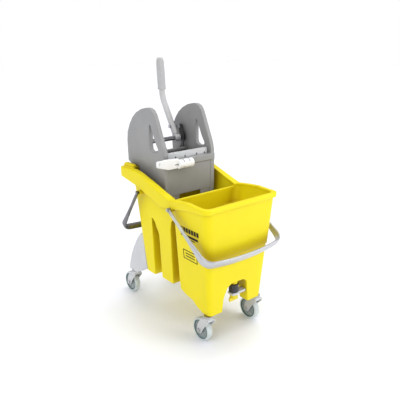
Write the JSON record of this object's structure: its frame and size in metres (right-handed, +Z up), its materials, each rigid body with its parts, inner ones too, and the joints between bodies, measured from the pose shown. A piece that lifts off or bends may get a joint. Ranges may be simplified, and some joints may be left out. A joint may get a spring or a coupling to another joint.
{
  "type": "mop bucket with wringer",
  "caption": "Two-compartment mop bucket on swivel castors, with two carrying bails, a front drain and a lift-off side-press wringer worked by a tall bent lever.",
  "frame": {"origin": "on the floor under the middle of the whole object's box", "axes": "+Z up, -Y to the front end with the drain arch, +Y to the wringer end, +X to the right"},
  "size_m": [0.3394, 0.5716, 0.8788],
  "materials": {
    "yellow_plastic": "satin moulded",
    "grey_plastic": "fine textured moulding",
    "light_plastic": "satin moulded",
    "white_plastic": "satin moulded",
    "wheel_plastic": "fine textured moulding",
    "band_plastic": "satin moulded",
    "tread_rubber": "smooth, non-marking",
    "grip_plastic": "fluted, soft sheen",
    "dark_plastic": "satin moulded",
    "seal_rubber": "matt",
    "lever_paint": "satin powder coat",
    "bail_steel": "satin",
    "rear_bail_steel": "bright drawn",
    "fork_steel": "zinc-grey, satin",
    "fixing_steel": "satin",
    "link_steel": "black, satin"
  },
  "bodies": {
    "base": {"bucket": "yellow_plastic", "fairing_left": "light_plastic", "fairing_right": "light_plastic", "fairing_screws": "fixing_steel", "castor_stems": "fixing_steel", "bail_pins": "fixing_steel", "drain_body": "dark_plastic", "drain_seal": "seal_rubber"},
    "bail_front": {"bail_front": "bail_steel"},
    "bail_rear": {"bail_rear": "rear_bail_steel"},
    "drain_knob": {"drain_knob": "yellow_plastic", "drain_lever": "light_plastic"},
    "castor_fl": {"fork_fl": "fork_steel", "axle_fl": "fixing_steel", "nut_fl": "fixing_steel"},
    "wheel_fl": {"hub_fl": "wheel_plastic", "band_fl": "band_plastic", "tyre_fl": "tread_rubber"},
    "castor_fr": {"fork_fr": "fork_steel", "axle_fr": "fixing_steel", "nut_fr": "fixing_steel"},
    "wheel_fr": {"hub_fr": "wheel_plastic", "band_fr": "band_plastic", "tyre_fr": "tread_rubber"},
    "castor_rl": {"fork_rl": "fork_steel", "axle_rl": "fixing_steel", "nut_rl": "fixing_steel"},
    "wheel_rl": {"hub_rl": "wheel_plastic", "band_rl": "band_plastic", "tyre_rl": "tread_rubber"},
    "castor_rr": {"fork_rr": "fork_steel", "axle_rr": "fixing_steel", "nut_rr": "fixing_steel"},
    "wheel_rr": {"hub_rr": "wheel_plastic", "band_rr": "band_plastic", "tyre_rr": "tread_rubber"},
    "wringer": {"wringer_body": "grey_plastic", "jaw_insert": "white_plastic", "shaft_bushes": "dark_plastic", "latch_pin": "fixing_steel"},
    "latch": {"latch_lever": "white_plastic"},
    "jaw": {"press_jaw": "grey_plastic", "jaw_brackets": "link_steel", "bracket_pins": "fixing_steel"},
    "links": {"links": "link_steel"},
    "lever": {"cross_shaft": "fixing_steel", "crank_arms": "link_steel", "crank_pins": "fixing_steel", "lever_hub": "lever_paint", "lever_tube": "lever_paint", "lever_grip": "grip_plastic", "lever_bolt": "fixing_steel", "lever_nut": "fixing_steel"}
  },
  "joints": [
    {"name": "bail_front_hinge", "type": "hinge", "parent": "base", "child": "bail_front", "pos_m": [0, -0.08318, 0.436], "axis": [-1, 0, 0], "range_deg": [0, 110]},
    {"name": "bail_rear_hinge", "type": "hinge", "parent": "base", "child": "bail_rear", "pos_m": [0, 0.09582, 0.449], "axis": [1, 0, 0], "range_deg": [0, 88]},
    {"name": "drain_turn", "type": "hinge", "parent": "base", "child": "drain_knob", "pos_m": [0, -0.21418, 0.145], "axis": [0, 0, 1], "range_deg": [0, 90]},
    {"name": "swivel_fl", "type": "hinge", "parent": "base", "child": "castor_fl", "pos_m": [-0.107, -0.21218, 0.09], "axis": [0, 0, 1], "continuous": true},
    {"name": "wheel_fl_spin", "type": "hinge", "parent": "castor_fl", "child": "wheel_fl", "pos_m": [-0.107, -0.18518, 0.04], "axis": [1, 0, 0], "continuous": true},
    {"name": "swivel_fr", "type": "hinge", "parent": "base", "child": "castor_fr", "pos_m": [0.107, -0.21218, 0.09], "axis": [0, 0, 1], "continuous": true},
    {"name": "wheel_fr_spin", "type": "hinge", "parent": "castor_fr", "child": "wheel_fr", "pos_m": [0.107, -0.18518, 0.04], "axis": [1, 0, 0], "continuous": true},
    {"name": "swivel_rl", "type": "hinge", "parent": "base", "child": "castor_rl", "pos_m": [-0.107, 0.21882, 0.09], "axis": [0, 0, 1], "continuous": true},
    {"name": "wheel_rl_spin", "type": "hinge", "parent": "castor_rl", "child": "wheel_rl", "pos_m": [-0.107, 0.24582, 0.04], "axis": [1, 0, 0], "continuous": true},
    {"name": "swivel_rr", "type": "hinge", "parent": "base", "child": "castor_rr", "pos_m": [0.107, 0.21882, 0.09], "axis": [0, 0, 1], "continuous": true},
    {"name": "wheel_rr_spin", "type": "hinge", "parent": "castor_rr", "child": "wheel_rr", "pos_m": [0.107, 0.24582, 0.04], "axis": [1, 0, 0], "continuous": true},
    {"name": "wringer_lift", "type": "slide", "parent": "base", "child": "wringer", "axis": [0, 0, 1], "range_m": [0, 0.3]},
    {"name": "lever_swing", "type": "hinge", "parent": "wringer", "child": "lever", "pos_m": [0, 0.17082, 0.598], "axis": [1, 0, 0], "range_deg": [0, 50]},
    {"name": "jaw_slide", "type": "slide", "parent": "wringer", "child": "jaw", "axis": [0, -1, 0], "range_m": [0, 0.069]},
    {"name": "link_hinge", "type": "hinge", "parent": "jaw", "child": "links", "pos_m": [0, 0.16922, 0.553], "axis": [-1, 0, 0], "range_deg": [0, 26]},
    {"name": "latch_turn", "type": "hinge", "parent": "wringer", "child": "latch", "pos_m": [0, -0.00718, 0.552], "axis": [1, 0, 0], "range_deg": [0, 80]}
  ],
  "couplings": [
    {"joint": "jaw_slide", "follows": "lever_swing", "m_per_rad": 0.07883},
    {"joint": "link_hinge", "follows": "lever_swing", "ratio": 0.50886}
  ]
}
